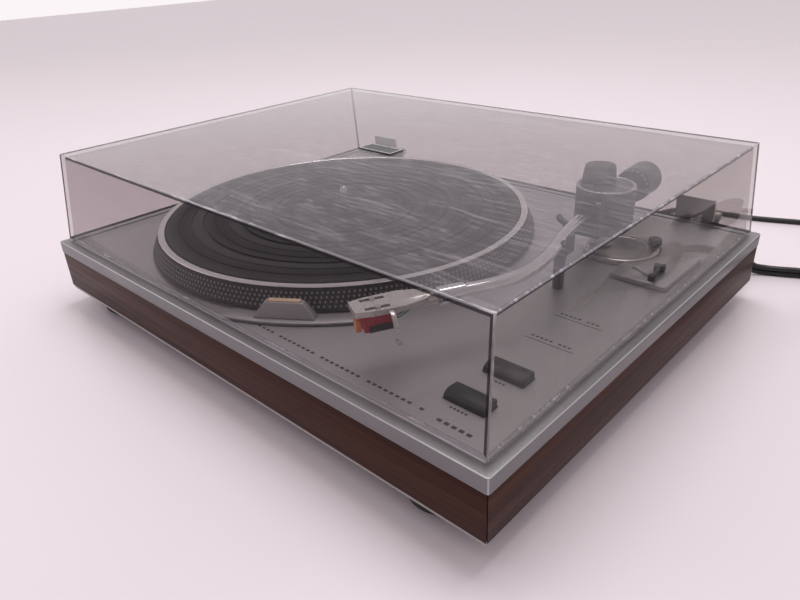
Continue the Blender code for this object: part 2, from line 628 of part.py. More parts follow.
    tail = cylinder_mesh("tail_shaft", 0.0036, 0.0133, 0.0785, 16)
    add_object("tail_shaft", moved(tail, Matrix.Rotation(-math.pi / 2, 4, "X")), "chrome", lift)
    weight_axis = empty("counterweight_axis", (0, 0, 0), lift)
    profile = [(0.0132, 0.0508), (0.0132, 0.0752), (0.0122, 0.0762), (0.0042, 0.0762), (0.0042, 0.0500),
               (0.0124, 0.0500)]
    weight = moved(turned_mesh("counterweight", profile, 32, ring=True), Matrix.Rotation(-math.pi / 2, 4, "X"))
    add_object("counterweight", weight, "grey_plastic", weight_axis)
    ring = moved(ring_mesh("force_ring", 0.0041, 0.0126, 0.0450, 0.0497, 32), Matrix.Rotation(-math.pi / 2, 4, "X"))
    add_object("force_ring", ring, "black_plastic", weight_axis)


# ---- lid ---------------------------------------------------------------------------------------------
def lid_half(height):
    """Half size of the lid's outside at a height."""
    share = (height - LID_BOTTOM) / (LID_TOP - LID_BOTTOM)
    return (WIDTH / 2 - LID_INSET[0] - LID_DRAFT[0] * share, DEPTH / 2 - LID_INSET[1] - LID_DRAFT[1] * share)


def lid_block(name, shrink, low, high):
    bx, by = lid_half(low)
    tx, ty = lid_half(high)
    bx, by, tx, ty = bx - shrink, by - shrink, tx - shrink, ty - shrink

    def to_top(x, y):
        return (math.copysign(tx, x), math.copysign(ty, y))

    return prism_mesh(name, rectangle(-bx, bx, -by, by), low, high, to_top)


def make_lid(base):
    hinge = empty("lid_axis", (0, HINGE_Y, HINGE_Z), base)
    home = Matrix.Translation((0, -HINGE_Y, -HINGE_Z))
    lid = cut("lid", lid_block("outside", 0, LID_BOTTOM, LID_TOP),
              lid_block("inside", LID_THICK, LID_BOTTOM - 0.01, LID_TOP - LID_THICK))
    add_object("lid", moved(lid, home), "smoked_acrylic", hinge)
    badge = box_mesh("badge", -0.0190, 0.0140, -0.01475, -0.00025, LID_TOP + GAP, LID_TOP + 0.0012)
    add_object("badge", moved(badge, home), "black_plastic", hinge)
    wall_y = lid_half(LID_BOTTOM)[1]
    for name, side in (("left", -1), ("right", 1)):
        def slope(z):
            return lid_half(z)[1] + GAP

        low, high = 0.0030, 0.0212
        bm = bmesh.new()
        section = ((slope(low), low), (wall_y + 0.0030, low), (slope(high) + 0.0028, high), (slope(high), high))
        ends = [[bm.verts.new((x, y, z)) for y, z in section] for x in (-0.0150, 0.0150)]
        for end in ends:
            bm.faces.new(end)
        for i in range(4):
            j = (i + 1) % 4
            bm.faces.new((ends[0][i], ends[0][j], ends[1][j], ends[1][i]))
        leaf = finish_mesh(bm, "leaf", False)
        web = box_mesh("web", -0.0050, 0.0050, wall_y + 0.0015, HINGE_Y - 0.001, 0.0036, 0.0074)
        knuckle = along_x(cylinder_mesh("knuckle", KNUCKLE_RADIUS, -0.0050, 0.0050, 16), 0, HINGE_Y, HINGE_Z)
        bore = along_x(cylinder_mesh("bore", PIN_RADIUS + 0.0003, -0.03, 0.03, 16), 0, HINGE_Y, HINGE_Z)
        leaf = cut("hinge_leaf", union("solid", leaf, web, knuckle), bore)
        leaf = moved(leaf, home @ Matrix.Translation((side * HINGE_X, 0, 0)))
        add_object(f"hinge_leaf_{name}", leaf, "silver", hinge)

        plate = box_mesh("plate", -0.0170, 0.0170, DEPTH / 2 + GAP, DEPTH / 2 + 0.0032, -0.0320, -0.0045)
        parts = []
        for x0, x1 in ((-0.0170, -0.0056), (0.0056, 0.0170)):
            parts.append(box_mesh("neck", x0, x1, DEPTH / 2 + GAP, DEPTH / 2 + 0.0034, -0.0060, HINGE_Z))
            barrel = cylinder_mesh("barrel", KNUCKLE_RADIUS, x0, x1, 16)
            parts.append(along_x(barrel, 0, HINGE_Y, HINGE_Z))
        bore = along_x(cylinder_mesh("bore", PIN_RADIUS + 0.0003, -0.03, 0.03, 16), 0, HINGE_Y, HINGE_Z)
        bracket = cut("hinge_bracket", union("solid", plate, *parts), bore)
        place = Matrix.Translation((side * HINGE_X, 0, 0))
        add_object(f"hinge_bracket_{name}", moved(bracket, place), "steel", base)
        pin = along_x(cylinder_mesh("pin", PIN_RADIUS, -0.0172, 0.0172, 12), side * HINGE_X, HINGE_Y, HINGE_Z)
        add_object(f"hinge_pin_{name}", pin, "chrome", base)


# ---- leads -------------------------------------------------------------------------------------------
MAINS_ROUTE = [(0.1000, 0.1980, -0.0280), (0.1000, 0.2020, -0.0280), (0.0990, 0.2130, -0.0315),
               (0.0960, 0.2320, -0.0430), (0.0910, 0.2560, -0.0520), (0.0870, 0.2800, -0.0535),
               (0.0870, 0.3050, -0.0535), (0.0960, 0.3280, -0.0535), (0.1160, 0.3420, -0.0535),
               (0.1420, 0.3470, -0.0535), (0.1690, 0.3520, -0.0535), (0.2060, 0.3660, -0.0535),
               (0.2300, 0.3750, -0.0535), (0.2500, 0.3783, -0.0535)]
AUDIO_ROUTE = [(0.1980, 0.1985, -0.0280), (0.1980, 0.2035, -0.0280), (0.2010, 0.2150, -0.0385),
               (0.2070, 0.2220, -0.0490), (0.2160, 0.2280, -0.0516), (0.2280, 0.2330, -0.0516),
               (0.2405, 0.2390, -0.0516), (0.2560, 0.2435, -0.0516), (0.2740, 0.2450, -0.0516),
               (0.2940, 0.2450, -0.0516)]
# middle x, y, outer radius, inner radius, height
MAINS_COIL = (0.2705, 0.3480, 0.0331, 0.0223, 0.0214)
AUDIO_COIL = (0.3250, 0.1910, 0.0565, 0.0428, 0.0184)
MAINS_PLUG = (0.3420, 0.3780)           # where its cord enters; it points along +X
AUDIO_PLUGS = (0.3790, 0.1290)          # the pair points along -Y


def make_leads(base):
    def relief(name, exit_x, exit_z, root, tip):
        profile = [(0, 0.0225), (tip, 0.0225), (root, 0.0040), (root + 0.0012, 0.0040), (root + 0.0012, 0.0008),
                   (root - 0.0004, 0.0008), (root - 0.0004, -0.0100), (0, -0.0100)]
        mesh = turned_mesh(name, profile, 16)
        place = Matrix.Translation((exit_x, DEPTH / 2 - BOARD_INSET, exit_z))
        mesh = moved(mesh, place @ Matrix.Rotation(-math.pi / 2, 4, "X"))
        add_object(name, mesh, "cord_black", base)

    relief("mains_strain_relief", *MAINS_EXIT, 0.0045, 0.0032)
    relief("audio_strain_relief", *AUDIO_EXIT, 0.0060, 0.0050)
    tube_object("mains_lead", smooth_path(MAINS_ROUTE, 40), MAINS_DIAMETER / 2, "cord_black", base, 2)
    tube_object("audio_lead", smooth_path(AUDIO_ROUTE, 26), AUDIO_DIAMETER / 2, "cord_black", base, 2)
    for name, coil in (("mains_coil", MAINS_COIL), ("audio_coil", AUDIO_COIL)):
        x, y, outer, inner, height = coil
        ring = ring_mesh(name, inner, outer, FLOOR, FLOOR + height, 32)
        add_object(name, ring, "cord_black", base).location = (x, y, 0)

    body = prism_mesh("plug", [(0, -0.0045), (0.0080, -0.0090), (0.0260, -0.0090), (0.0260, 0.0090),
                               (0.0080, 0.0090), (0, 0.0045)], 0.0, 0.0130)
    blades = [box_mesh("blade", 0.0250, 0.0430, s * 0.00635 - 0.0008, s * 0.00635 + 0.0008, 0.0035, 0.0095)
              for s in (-1, 1)]
    plug = moved(union("mains_plug", body, *blades), Matrix.Translation((*MAINS_PLUG, FLOOR)))
    add_object("mains_plug", plug, "black_plastic", base)

    x, y = AUDIO_PLUGS
    for name, side, finish in (("white", -1, "white_plastic"), ("red", 1, "red_plastic")):
        barrel = [(0, 0.0), (0.0030, 0.0), (0.0046, 0.0060), (0.0046, 0.0280), (0.0041, 0.0280),
                  (0.0041, 0.0330), (0.0016, 0.0330), (0.0016, 0.0410), (0, 0.0410)]
        mesh = turned_mesh(f"phono_plug_{name}", barrel, 16)
        place = Matrix.Translation((x + side * 0.0052, y, FLOOR + 0.0047))
        mesh = moved(mesh, place @ Matrix.Rotation(math.pi / 2, 4, "X"))
        add_object(f"phono_plug_{name}", mesh, finish, base)


def main():
    clear_scene()
    rear = HINGE_Y + KNUCKLE_RADIUS
    trim_plane = empty("trim_plane", (0, (DEPTH / 2 - rear) / 2, TRIM_TOP))
    make_case(trim_plane)
    make_deck(trim_plane)
    make_strobe(trim_plane)
    make_drive(trim_plane)
    make_arm_base(trim_plane)
    make_arm(trim_plane)
    make_lid(trim_plane)
    make_leads(trim_plane)


MATERIALS = make_materials()
main()
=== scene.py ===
"""Looks of the turntable record player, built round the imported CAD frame.

Plan places and heights below are in the trim's own frame, as in the CAD source: the middle of the box in
plan, heights from the top of the silver trim. HOME moves them to the world.
"""

import json
import math

import bmesh
import bpy
from mathutils import Matrix, Vector

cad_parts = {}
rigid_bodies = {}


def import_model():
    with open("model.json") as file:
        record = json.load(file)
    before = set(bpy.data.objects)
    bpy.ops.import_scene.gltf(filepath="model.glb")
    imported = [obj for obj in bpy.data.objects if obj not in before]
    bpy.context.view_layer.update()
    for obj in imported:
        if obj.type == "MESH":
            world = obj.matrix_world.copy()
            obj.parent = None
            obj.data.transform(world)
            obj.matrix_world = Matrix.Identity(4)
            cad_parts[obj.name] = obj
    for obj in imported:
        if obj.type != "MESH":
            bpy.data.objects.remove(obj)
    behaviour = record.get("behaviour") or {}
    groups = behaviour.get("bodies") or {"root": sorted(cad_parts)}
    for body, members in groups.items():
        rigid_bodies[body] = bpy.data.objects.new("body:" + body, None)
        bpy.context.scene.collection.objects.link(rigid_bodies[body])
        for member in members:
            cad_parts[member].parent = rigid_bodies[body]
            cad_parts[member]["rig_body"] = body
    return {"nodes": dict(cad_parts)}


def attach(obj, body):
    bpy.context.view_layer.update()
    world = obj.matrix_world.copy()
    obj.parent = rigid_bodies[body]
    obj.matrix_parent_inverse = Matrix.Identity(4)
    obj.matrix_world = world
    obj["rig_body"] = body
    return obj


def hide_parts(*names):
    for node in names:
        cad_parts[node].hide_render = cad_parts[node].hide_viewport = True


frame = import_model()
BOX_MIDDLE_Y = -0.0037
TRIM_HEIGHT = 0.0560
HOME = Matrix.Translation((0, BOX_MIDDLE_Y, TRIM_HEIGHT))
FLOOR = -TRIM_HEIGHT


def note_size():
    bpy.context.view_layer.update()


note_size()

# ---- camera ------------------------------------------------------------------------------------------
CAMERA_AT = Vector((0.34759, -0.35679, 0.20450))
CAMERA_AIM = Vector((0.07634, -0.07625, 0.0))
CAMERA_ROLL = math.radians(-2.759)
CAMERA_LENS = 30.17
CAMERA_SENSOR = 36.0


def make_camera():
    ahead = (CAMERA_AIM - CAMERA_AT).normalized()
    right = ahead.cross(Vector((0, 0, 1))).normalized()
    up = right.cross(ahead)
    x = right * math.cos(CAMERA_ROLL) + up * math.sin(CAMERA_ROLL)
    y = up * math.cos(CAMERA_ROLL) - right * math.sin(CAMERA_ROLL)
    camera = bpy.data.objects.new("camera", bpy.data.cameras.new("camera"))
    bpy.context.scene.collection.objects.link(camera)
    camera.data.lens = CAMERA_LENS
    camera.data.sensor_width = CAMERA_SENSOR
    camera.data.clip_start = 0.01
    place = Matrix((x, y, -ahead)).transposed().to_4x4()
    place.translation = CAMERA_AT
    camera.matrix_world = HOME @ place
    bpy.context.scene.camera = camera
    bpy.context.scene.view_settings.view_transform = "Standard"


# ---- materials ---------------------------------------------------------------------------------------
class Paint:
    """A node material, built by small steps; those that make a value return its output socket."""

    def __init__(self, name, colour=(0.5, 0.5, 0.5), roughness=0.5, metallic=0.0):
        self.material = bpy.data.materials.new(name)
        self.material.use_nodes = True
        self.nodes = self.material.node_tree.nodes
        self.links = self.material.node_tree.links
        self.shader = self.nodes["Principled BSDF"]
        self.end = self.nodes["Material Output"]
        self.shader.inputs["Base Color"].default_value = (*colour, 1.0)
        self.shader.inputs["Roughness"].default_value = roughness
        self.shader.inputs["Metallic"].default_value = metallic

    def node(self, kind, **inputs):
        """Make a node; an underscore in an input's name stands for a space."""
        made = self.nodes.new(kind)
        for key, value in inputs.items():
            self.feed(made.inputs[key.replace("_", " ")], value)
        return made

    def feed(self, socket, value):
        if isinstance(value, bpy.types.NodeSocket):
            self.links.new(value, socket)
        else:
            socket.default_value = value

    def place(self, stretch=(1, 1, 1)):
        mapping = self.node("ShaderNodeMapping")
        self.feed(mapping.inputs["Vector"], self.node("ShaderNodeTexCoord").outputs["Object"])
        mapping.inputs["Scale"].default_value = stretch
        return mapping.outputs["Vector"]

    def noise(self, scale, stretch=(1, 1, 1), detail=4.0, distortion=0.0):
        made = self.node("ShaderNodeTexNoise", Vector=self.place(stretch), Scale=scale, Detail=detail,
                         Distortion=distortion)
        return made.outputs["Fac"]

    def math(self, operation, one, two=0.0, three=0.0):
        made = self.nodes.new("ShaderNodeMath")
        made.operation = operation
        for socket, value in zip(made.inputs, (one, two, three)):
            self.feed(socket, value)
        return made.outputs[0]

    def ramp(self, fac, stops):
        made = self.node("ShaderNodeValToRGB", Fac=fac)
        elements = made.color_ramp.elements
        while len(elements) < len(stops):
            elements.new(0.5)
        for element, (position, colour) in zip(elements, stops):
            element.position = position
            shade = colour if isinstance(colour, tuple) else (colour, colour, colour)
            element.color = (*shade, 1.0)
        return made.outputs["Color"]

    def mix(self, fac, one, two, blend="MIX"):
        made = self.nodes.new("ShaderNodeMix")
        made.data_type = "RGBA"
        made.blend_type = blend
        for socket, value in ((made.inputs[0], fac), (made.inputs[6], one), (made.inputs[7], two)):
            if isinstance(value, tuple):
                value = (*value, 1.0)
            self.feed(socket, value)
        return made.outputs[2]

    def colour(self, value):
        self.feed(self.shader.inputs["Base Color"], value)

    def rough(self, value):
        self.feed(self.shader.inputs["Roughness"], value)

    def bump(self, height, distance):
        made = self.node("ShaderNodeBump", Height=height, Distance=distance, Strength=1.0)
        self.feed(self.shader.inputs["Normal"], made.outputs["Normal"])

    def specular(self, value):
        self.feed(self.shader.inputs["Specular IOR Level"], value)

    def from_axis(self, centre):
        """The object's x and y from a vertical axis, the distance from it, and the object's z."""
        split = self.node("ShaderNodeSeparateXYZ", Vector=self.place())
        x = self.math("SUBTRACT", split.outputs[0], centre[0])
        y = self.math("SUBTRACT", split.outputs[1], centre[1])
        return x, y, self.length(x, y), split.outputs[2]

    def length(self, x, y):
        return self.math("SQRT", self.math("ADD", self.math("MULTIPLY", x, x), self.math("MULTIPLY", y, y)))


def speckled(name, colour, roughness, metallic=0.0, grain=900.0, amount=0.12, depth=0.000003):
    """Moulded or painted finish: slight mottling of colour and roughness, and a fine grain."""
    paint = Paint(name, colour, roughness, metallic)
    low = tuple(c * (1 - amount) for c in colour)
    high = tuple(min(1.0, c * (1 + amount)) for c in colour)
    paint.colour(paint.mix(paint.noise(60.0, detail=5.0), low, high))
    paint.rough(paint.math("MULTIPLY_ADD", paint.noise(140.0), roughness * 0.4, roughness * 0.8))
    if depth:
        paint.bump(paint.noise(grain), depth)
    return paint.material


def brushed(name, colour, roughness, metallic, stretch):
    """Metal with hairlines along the axis whose stretch is small."""
    paint = Paint(name, colour, roughness, metallic)
    lines = paint.noise(900.0, stretch, detail=6.0)
    low = tuple(c * 0.86 for c in colour)
    high = tuple(min(1.0, c * 1.12) for c in colour)
    paint.colour(paint.mix(lines, low, high))
    paint.rough(paint.math("MULTIPLY_ADD", paint.noise(25.0, detail=6.0), 0.22, roughness - 0.1))
    paint.bump(lines, 0.00001)
    return paint.material


def walnut(name, along):
    """Printed walnut grain; along is 0 for grain along X and 1 for grain along Y."""
    paint = Paint(name, roughness=0.42)
    stretch = [9.0, 9.0, 9.0]
    stretch[along] = 0.45
    bands = paint.noise(5.0, tuple(stretch), detail=7.0, distortion=1.2)
    fine = [60.0, 60.0, 60.0]
    fine[along] = 1.2
    fibres = paint.noise(9.0, tuple(fine), detail=5.0)
    tone = paint.ramp(bands, [(0.30, (0.030, 0.009, 0.006)), (0.45, (0.045, 0.015, 0.010)),
                              (0.58, (0.062, 0.022, 0.013)), (0.72, (0.090, 0.034, 0.021))])
    streak = paint.ramp(fibres, [(0.36, 0.70), (0.52, 1.0)])
    paint.colour(paint.mix(0.8, tone, streak, "MULTIPLY"))
    paint.rough(paint.math("MULTIPLY_ADD", fibres, -0.20, 0.56))
    paint.specular(0.15)
    paint.bump(fibres, 0.00004)
    return paint.material


PLATTER = (-0.052, -0.004)
PLATTER_HOME = HOME @ Vector((*PLATTER, 0))
DOTS_LOW = 0.0034
DOTS_HIGH = 0.0142
DOT_ROWS = 4
DOTS_AROUND = 272.0
DOT_RADIUS = 0.30
DOT_NARROWING = 1.55
RING_PITCH = 0.0276


def dotted_skirt(name, centre):
    """Rows of light dots round a dark turned edge, each row with two more dots than the one below."""
    paint = Paint(name, metallic=0.3)
    x, y, _, z = paint.from_axis(centre)
    turn = paint.math("DIVIDE", paint.math("ARCTAN2", y, x), 2 * math.pi)
    height = paint.math("SUBTRACT", z, centre[2] + DOTS_LOW)
    rise = paint.math("DIVIDE", height, (DOTS_HIGH - DOTS_LOW) / DOT_ROWS)
    count = paint.math("MULTIPLY_ADD", paint.math("FLOOR", rise), 2.0, DOTS_AROUND)
    across = paint.math("FRACT", paint.math("ADD", paint.math("MULTIPLY", turn, count), 10.0))
    u = paint.math("MULTIPLY", paint.math("SUBTRACT", across, 0.5), DOT_NARROWING)
    v = paint.math("SUBTRACT", paint.math("FRACT", rise), 0.5)
    middle = DOT_ROWS / 2
    rows = paint.math("LESS_THAN", paint.math("ABSOLUTE", paint.math("SUBTRACT", rise, middle)), middle)
    dot = paint.math("MULTIPLY", paint.math("LESS_THAN", paint.length(u, v), DOT_RADIUS), rows)
    paint.colour(paint.mix(dot, (0.016, 0.016, 0.018), (0.22, 0.22, 0.23)))
    paint.rough(paint.math("MULTIPLY_ADD", dot, -0.12, 0.42))
    return paint.material


def ringed_rubber(name, centre):
    """Matt rubber with broad darker and lighter rings of painted shade and light for the shading of wide
    grooves, mottled at random.
    """
    paint = Paint(name)
    radius = paint.from_axis(centre)[2]
    wave = paint.math("SINE", paint.math("MULTIPLY", radius, 2 * math.pi / RING_PITCH))
    swell = paint.math("MULTIPLY_ADD", wave, 0.5, 0.5)
    mottled_ring_shade = paint.math("MULTIPLY", swell, paint.noise(12.0, detail=5.0))
    # The rings in the colour are painted shade and light of the grooves, mottled at random.
    paint.colour(paint.ramp(mottled_ring_shade, [(0.05, (0.006, 0.0065, 0.008)), (0.55, (0.026, 0.026, 0.029))]))
    paint.specular(0.2)
    paint.rough(paint.math("MULTIPLY_ADD", swell, -0.12, 0.58))
    return paint.material


def acrylic(name, tint, haze, roughness, gloss=1.0):
    """Clear smoked sheet: tinted see-through, a mirror-like skin, and a haze of fine scratches."""
    paint = Paint(name)
    clear = paint.node("ShaderNodeBsdfTransparent", Color=(*tint, 1.0))
    dust = paint.node("ShaderNodeBsdfDiffuse", Color=(0.62, 0.58, 0.64, 1.0))
    skin = paint.node("ShaderNodeBsdfGlossy", Color=(0.95, 0.95, 0.95, 1.0), Roughness=roughness)
    marks = paint.noise(28.0, (1.0, 7.0, 1.0), detail=10.0, distortion=1.6)
    scuffs = paint.ramp(marks, [(0.52, haze * 0.6), (0.72, haze * 2.0)])
    milky = paint.node("ShaderNodeMixShader", Fac=scuffs)
    paint.links.new(clear.outputs[0], milky.inputs[1])
    paint.links.new(dust.outputs[0], milky.inputs[2])
    tilt = paint.node("ShaderNodeLayerWeight", Blend=0.5).outputs["Facing"]
    shine = paint.math("MULTIPLY_ADD", paint.math("POWER", tilt, 5.0), 0.90 * gloss, 0.04 * gloss)
    rear = paint.math("MULTIPLY_ADD", paint.node("ShaderNodeNewGeometry").outputs["Backfacing"], -0.6, 1.0)
    whole = paint.node("ShaderNodeMixShader", Fac=paint.math("MULTIPLY", shine, rear))
    paint.links.new(milky.outputs[0], whole.inputs[1])
    paint.links.new(skin.outputs[0], whole.inputs[2])
    paint.links.new(whole.outputs[0], paint.end.inputs["Surface"])
    return paint.material


def make_paints():
    return {
        "walnut_x": walnut("walnut_x", 0),
        "walnut_y": walnut("walnut_y", 1),
        "trim_x": brushed("trim_x", (0.22, 0.215, 0.22), 0.42, 0.75, (0.02, 1.0, 1.0)),
        "silver": speckled("silver", (0.50, 0.49, 0.50), 0.32, 0.9, amount=0.05),
        "bright_silver": speckled("bright_silver", (0.70, 0.68, 0.67), 0.28, 0.6, amount=0.04, depth=0),
        "deck_silver": speckled("deck_silver", (0.42, 0.41, 0.43), 0.40, 0.6, amount=0.05, depth=0),
        "steel": speckled("steel", (0.42, 0.40, 0.39), 0.5, 0.5),
        "chrome": speckled("chrome", (0.72, 0.72, 0.74), 0.14, 1.0, amount=0.03),
        "rubber": speckled("rubber", (0.018, 0.018, 0.020), 0.62, grain=700.0),
        "mat": ringed_rubber("mat", PLATTER_HOME),
        "black_plastic": speckled("black_plastic", (0.030, 0.031, 0.033), 0.38),
        "key_plastic": speckled("key_plastic", (0.015, 0.018, 0.018), 0.5, depth=0),
        "grey_plastic": speckled("grey_plastic", (0.05, 0.05, 0.055), 0.36, 0.2),
        "knob_plastic": speckled("knob_plastic", (0.030, 0.029, 0.030), 0.46),
        "amber": speckled("amber", (0.70, 0.52, 0.36), 0.2),
        "orange": speckled("orange", (0.85, 0.30, 0.10), 0.25),
        "red_plastic": speckled("red_plastic", (0.42, 0.02, 0.045), 0.3),
        "board_green": speckled("board_green", (0.04, 0.14, 0.07), 0.5),
        "white_plastic": speckled("white_plastic", (0.75, 0.74, 0.70), 0.4),
        "cord_black": speckled("cord_black", (0.014, 0.014, 0.015), 0.42, grain=1500.0),
        "ring_silver": speckled("ring_silver", (0.72, 0.71, 0.71), 0.20, 0.85, amount=0.03, depth=0),
        "print": speckled("print", (0.045, 0.045, 0.05), 0.5),
        "wire_blue": speckled("wire_blue", (0.05, 0.10, 0.40), 0.4),
        "wire_green": speckled("wire_green", (0.05, 0.28, 0.09), 0.4),
        "skirt": dotted_skirt("skirt", PLATTER_HOME),
        # A lighter silver for the trim's bevels, a painted highlight line along its edges.
        "trim_highlight_edge": speckled("trim_highlight_edge", (0.42, 0.41, 0.42), 0.3, 0.8, amount=0.04, depth=0.000002),
        "cap_grey": speckled("cap_grey", (0.17, 0.165, 0.17), 0.35, 0.7, amount=0.04),
        "hinge_grey": speckled("hinge_grey", (0.72, 0.72, 0.74), 0.4, 0.2, amount=0.04),
        # Copies of one acrylic for the lid: the top is milkier, a painted reflection of the ceiling over its
        # haze of scratches; the right face is a lighter copy, painted light.
        "smoked_acrylic": acrylic("smoked_acrylic", (0.81, 0.79, 0.79), 0.010, 0.03, 0.35),
        "acrylic_right_lit": acrylic("acrylic_right_lit", (0.81, 0.80, 0.78), 0.035, 0.03, 0.45),
        "acrylic_top_painted_sheen": acrylic("acrylic_top_painted_sheen", (0.79, 0.775, 0.775), 0.105, 0.03, 0.5),
        # Bevel acrylics: the near outer edges milky, a painted highlight line; the far outer edges and inner
        # corners dark, painted shade.
        "acrylic_highlight_edge": acrylic("acrylic_highlight_edge", (0.50, 0.50, 0.51), 0.50, 0.12),
        "acrylic_far_shade_edge": acrylic("acrylic_far_shade_edge", (0.06, 0.055, 0.055), 0.02, 0.15, 0.35),
        "acrylic_corner_shade": acrylic("acrylic_corner_shade", (0.12, 0.115, 0.12), 0.02, 0.15, 0.5),
    }


# ---- modelling helpers -------------------------------------------------------------------------------
EDGE_ANGLE = math.radians(40.0)


def to_mesh(bm, name, sharp=35.0):
    bmesh.ops.recalc_face_normals(bm, faces=bm.faces)
    mesh = bpy.data.meshes.new(name)
    bm.to_mesh(mesh)
    bm.free()
    mesh.shade_smooth()
    mesh.set_sharp_from_angle(angle=math.radians(sharp))
    return mesh


def bevel(bm, edges, width, segments, slot=-1):
    """Round edges off, the new faces in a material slot of their own if asked."""
    bmesh.ops.bevel(bm, geom=edges, offset=width, segments=segments, profile=0.5, affect="EDGES",
                    clamp_overlap=True, material=slot)


def soften(bm, width, segments=2, slot=-1):
    bevel(bm, [e for e in bm.edges if len(e.link_faces) == 2 and e.calc_face_angle(0) > EDGE_ANGLE],
          width, segments, slot)


def show(name, mesh, paint, body, stands_for=()):
    """Add a piece in the trim's frame, riding on a body."""
    mesh.transform(HOME)
    return settle(name, mesh, paint, body, stands_for)


def settle(name, mesh, paint, body, stands_for=()):
    """Add a piece whose mesh is already in the world's frame, riding on a body."""
    piece = bpy.data.objects.new(name, mesh)
    bpy.context.scene.collection.objects.link(piece)
    mesh.materials.append(PAINTS[paint])
    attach(piece, body)
    if stands_for:
        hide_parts(*stands_for)
    return piece


def dress(node, paint, width=0.0, segments=2, sharp=35.0, edge_paint=None):
    """Show a CAD node with its facets merged and its edges eased, in a paint of their own if asked."""
    source = frame["nodes"][node]
    bm = bmesh.new()
    bm.from_mesh(source.data)
    bmesh.ops.remove_doubles(bm, verts=bm.verts, dist=1e-6)
    bmesh.ops.dissolve_limit(bm, angle_limit=math.radians(0.5), verts=bm.verts, edges=bm.edges)
    if width:
        soften(bm, width, segments, 1 if edge_paint else -1)
    piece = settle(f"{node}_look", to_mesh(bm, f"{node}_look", sharp), paint, source["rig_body"], (node,))
    if edge_paint:
        piece.data.materials.append(PAINTS[edge_paint])
    return piece


def box(x0, x1, y0, y1, z0, z1, bm=None):
    """Add a box to bm, or start one."""
    bm = bm or bmesh.new()
    corners = [(x, y, z) for z in (z0, z1) for x, y in ((x0, y0), (x1, y0), (x1, y1), (x0, y1))]
    verts = [bm.verts.new(c) for c in corners]
    for face in ((0, 3, 2, 1), (4, 5, 6, 7), (0, 1, 5, 4), (1, 2, 6, 5), (2, 3, 7, 6), (3, 0, 4, 7)):
        bm.faces.new([verts[i] for i in face])
    return bm


def turned(profile, segments, centre=(0, 0), closed=False, bm=None):
    """Spin (radius, height) pairs about a vertical axis, adding to bm or starting one."""
    bm = bm or bmesh.new()
    rows = []
    for radius, height in profile:
        count = 1 if radius < 1e-9 else segments
        rows.append([bm.verts.new((centre[0] + radius * math.cos(2 * math.pi * k / count),
                                   centre[1] + radius * math.sin(2 * math.pi * k / count), height))
                     for k in range(count)])
    pairs = list(zip(rows, rows[1:])) + ([(rows[-1], rows[0])] if closed else [])
    for upper, lower in pairs:
        for k in range(segments):
            n = (k + 1) % segments
            loop = [upper[k % len(upper)], upper[n % len(upper)],
                    lower[n % len(lower)], lower[k % len(lower)]]
            corners = list(dict.fromkeys(loop))
            if len(corners) > 2:
                bm.faces.new(corners)
    return bm


def smooth_path(points, spacing):
    """Even points along a smooth curve through the given ones."""
    route = [Vector(p) for p in points]
    route = [2 * route[0] - route[1], *route, 2 * route[-1] - route[-2]]
    fine = []
    for a, b, c, d in zip(route, route[1:], route[2:], route[3:]):
        for k in range(24):
            t = k / 24
            fine.append(0.5 * ((2 * b) + (c - a) * t + (2 * a - 5 * b + 4 * c - d) * t * t
                               + (3 * b - a - 3 * c + d) * t ** 3))
    fine.append(route[-2])
    lengths = [0.0]
    for a, b in zip(fine, fine[1:]):
        lengths.append(lengths[-1] + (b - a).length)
    count = max(2, round(lengths[-1] / spacing) + 1)
    even = []
    k = 0
    for i in range(count):
        target = lengths[-1] * i / (count - 1)
        while k < len(lengths) - 2 and lengths[k + 1] < target:
            k += 1
        share = (target - lengths[k]) / (lengths[k + 1] - lengths[k])
        even.append(fine[k].lerp(fine[k + 1], share))
    return even


def moved(bm, matrix, start):
    """Move the corners added to bm since it had start of them."""
    bm.verts.ensure_lookup_table()
    bmesh.ops.transform(bm, matrix=matrix, verts=bm.verts[start:])


def length_of(path):
    return sum((b - a).length for a, b in zip(path, path[1:]))


def tube(path, outline, bm=None):
    """Sweep a closed outline of (sideways, upwards) points along a path, with the side kept level."""
    bm = bm or bmesh.new()
    rings = []
    for k, place in enumerate(path):
        ahead = (path[min(k + 1, len(path) - 1)] - path[max(k - 1, 0)]).normalized()
        side = ahead.cross(Vector((0, 0, 1))).normalized()
        up = side.cross(ahead)
        rings.append([bm.verts.new(place + side * u + up * v) for u, v in outline])
    for one, two in zip(rings, rings[1:]):
        for i in range(len(outline)):
            j = (i + 1) % len(outline)
            bm.faces.new((one[i], one[j], two[j], two[i]))
    bm.faces.new(rings[0])
    bm.faces.new(rings[-1])
    return bm


def circle(radius, count, centre=(0, 0)):
    return [(centre[0] + radius * math.cos(2 * math.pi * k / count),
             centre[1] + radius * math.sin(2 * math.pi * k / count)) for k in range(count)]


